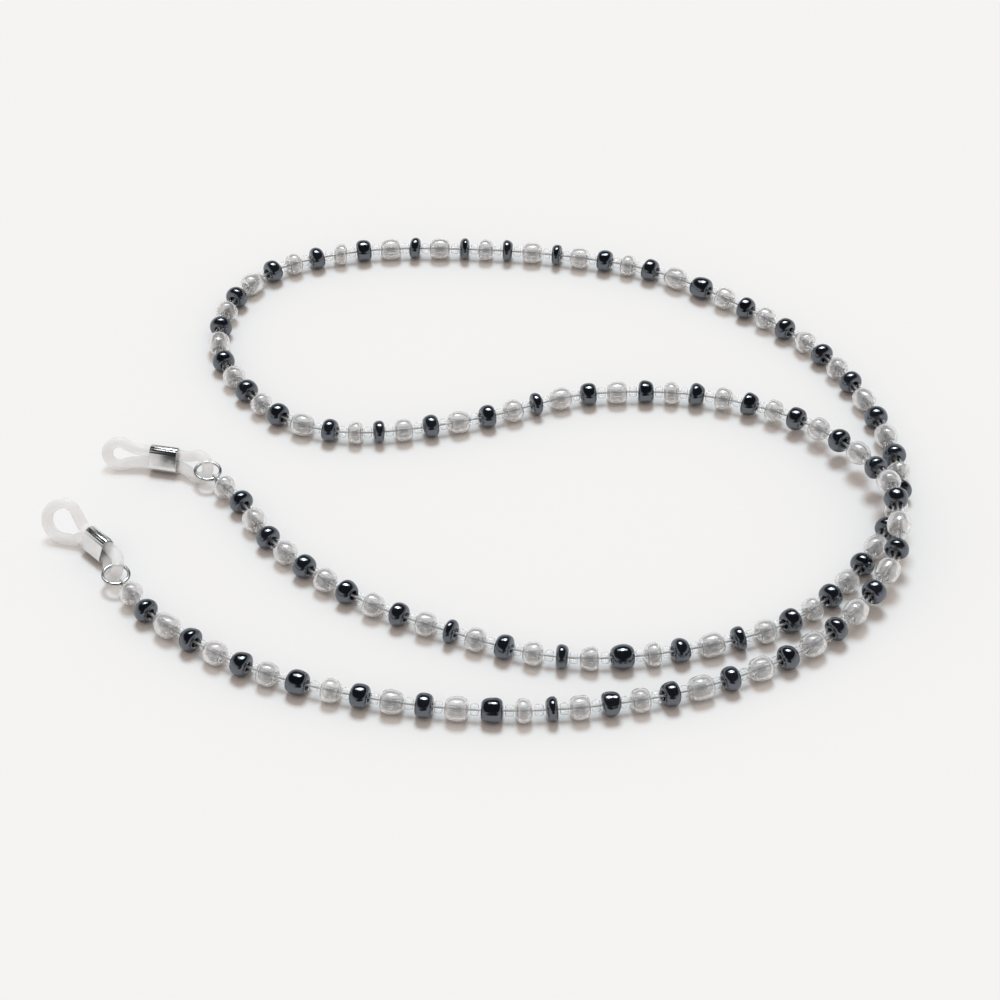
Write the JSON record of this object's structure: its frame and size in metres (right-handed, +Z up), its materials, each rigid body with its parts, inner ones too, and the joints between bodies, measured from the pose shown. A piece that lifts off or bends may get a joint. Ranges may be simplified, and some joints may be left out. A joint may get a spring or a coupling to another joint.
{
  "type": "eyeglass retainer strap",
  "caption": "Beaded neck strap for a pair of glasses: glass beads on a wire, with a jump ring, a silicone temple loop and a sliding metal sleeve at each end.",
  "frame": {"origin": "on the table under the centre of the laid-out chain", "axes": "+Z up from the table, +X along the longer side of the layout, away from the two ends; -Y towards the viewer"},
  "size_m": [0.1513, 0.1281, 0.009],
  "materials": {
    "black_glass": "glossy",
    "grey_glass": "pearly",
    "clear_glass": "glossy",
    "stringing_wire": "plastic-coated beading wire",
    "crimp_metal": "satin",
    "ring_metal": "polished",
    "silicone": "milky, translucent",
    "sleeve_metal": "polished"
  },
  "bodies": {
    "neck": {"right_bend_black_beads": "black_glass", "right_bend_grey_beads": "grey_glass", "right_bend_clear_beads": "clear_glass", "back_row_black_beads": "black_glass", "back_row_grey_beads": "grey_glass", "back_row_clear_beads": "clear_glass", "left_bend_black_beads": "black_glass", "left_bend_grey_beads": "grey_glass", "left_bend_clear_beads": "clear_glass", "middle_row_black_beads": "black_glass", "middle_row_grey_beads": "grey_glass", "middle_row_clear_beads": "clear_glass", "crossing_black_beads": "black_glass", "crossing_grey_beads": "grey_glass", "crossing_clear_beads": "clear_glass", "neck_wire": "stringing_wire"},
    "right_base": {"right_base_black_beads": "black_glass", "right_base_grey_beads": "grey_glass", "right_base_clear_beads": "clear_glass", "right_base_wire": "stringing_wire"},
    "right_mid": {"right_mid_black_beads": "black_glass", "right_mid_grey_beads": "grey_glass", "right_mid_clear_beads": "clear_glass", "right_mid_wire": "stringing_wire"},
    "right_tip": {"right_tip_black_beads": "black_glass", "right_tip_grey_beads": "grey_glass", "right_tip_clear_beads": "clear_glass", "right_tip_wire": "stringing_wire", "right_crimp": "crimp_metal", "right_wire_eye": "stringing_wire"},
    "right_ring": {"right_jump_ring": "ring_metal"},
    "right_loop": {"right_silicone_loop": "silicone"},
    "right_slider": {"right_sleeve": "sleeve_metal"},
    "left_base": {"left_base_black_beads": "black_glass", "left_base_grey_beads": "grey_glass", "left_base_clear_beads": "clear_glass", "left_base_wire": "stringing_wire"},
    "left_mid": {"left_mid_black_beads": "black_glass", "left_mid_grey_beads": "grey_glass", "left_mid_clear_beads": "clear_glass", "left_mid_wire": "stringing_wire"},
    "left_tip": {"left_tip_black_beads": "black_glass", "left_tip_grey_beads": "grey_glass", "left_tip_clear_beads": "clear_glass", "left_tip_wire": "stringing_wire", "left_crimp": "crimp_metal", "left_wire_eye": "stringing_wire"},
    "left_ring": {"left_jump_ring": "ring_metal"},
    "left_loop": {"left_silicone_loop": "silicone"},
    "left_slider": {"left_sleeve": "sleeve_metal"}
  },
  "joints": [
    {"name": "right_flex_base", "type": "hinge", "parent": "neck", "child": "right_base", "pos_m": [0.04485, -0.04507, 0.00215], "axis": [-0.3597, 0.9331, 0], "range_deg": [0, 15]},
    {"name": "right_flex_mid", "type": "hinge", "parent": "right_base", "child": "right_mid", "pos_m": [0.01156, -0.0497, 0.00215], "axis": [0.1748, 0.9846, 0], "range_deg": [0, 15]},
    {"name": "right_flex_tip", "type": "hinge", "parent": "right_mid", "child": "right_tip", "pos_m": [-0.01997, -0.0364, 0.00215], "axis": [0.5481, 0.8364, 0], "range_deg": [0, 15]},
    {"name": "right_ring_pitch", "type": "hinge", "parent": "right_tip", "child": "right_ring", "pos_m": [-0.04658, -0.00631, 0.00254], "axis": [0.7645, 0.6446, 0], "range_deg": [0, 70]},
    {"name": "right_loop_yaw", "type": "hinge", "parent": "right_ring", "child": "right_loop", "pos_m": [-0.04799, -0.00464, 0.00271], "axis": [0, 0, 1], "range_deg": [-60, 60]},
    {"name": "right_sleeve_slide", "type": "slide", "parent": "right_loop", "child": "right_slider", "axis": [-0.9781, 0.2079, 0], "range_m": [0, 0.001]},
    {"name": "left_flex_base", "type": "hinge", "parent": "neck", "child": "left_base", "pos_m": [0.04321, -0.05401, 0.00222], "axis": [-0.4185, 0.9082, 0], "range_deg": [0, 15]},
    {"name": "left_flex_mid", "type": "hinge", "parent": "left_base", "child": "left_mid", "pos_m": [0.00978, -0.06193, 0.00215], "axis": [-0.0504, 0.9987, 0], "range_deg": [0, 15]},
    {"name": "left_flex_tip", "type": "hinge", "parent": "left_mid", "child": "left_tip", "pos_m": [-0.02642, -0.05677, 0.00215], "axis": [0.3058, 0.9521, 0], "range_deg": [0, 15]},
    {"name": "left_ring_pitch", "type": "hinge", "parent": "left_tip", "child": "left_ring", "pos_m": [-0.06003, -0.03287, 0.00253], "axis": [0.8119, 0.5837, 0], "range_deg": [0, 70]},
    {"name": "left_loop_yaw", "type": "hinge", "parent": "left_ring", "child": "left_loop", "pos_m": [-0.0613, -0.03109, 0.0027], "axis": [0, 0, 1], "range_deg": [-60, 60]},
    {"name": "left_sleeve_slide", "type": "slide", "parent": "left_loop", "child": "left_slider", "axis": [-0.6947, 0.7193, 0], "range_m": [0, 0.001]}
  ]
}
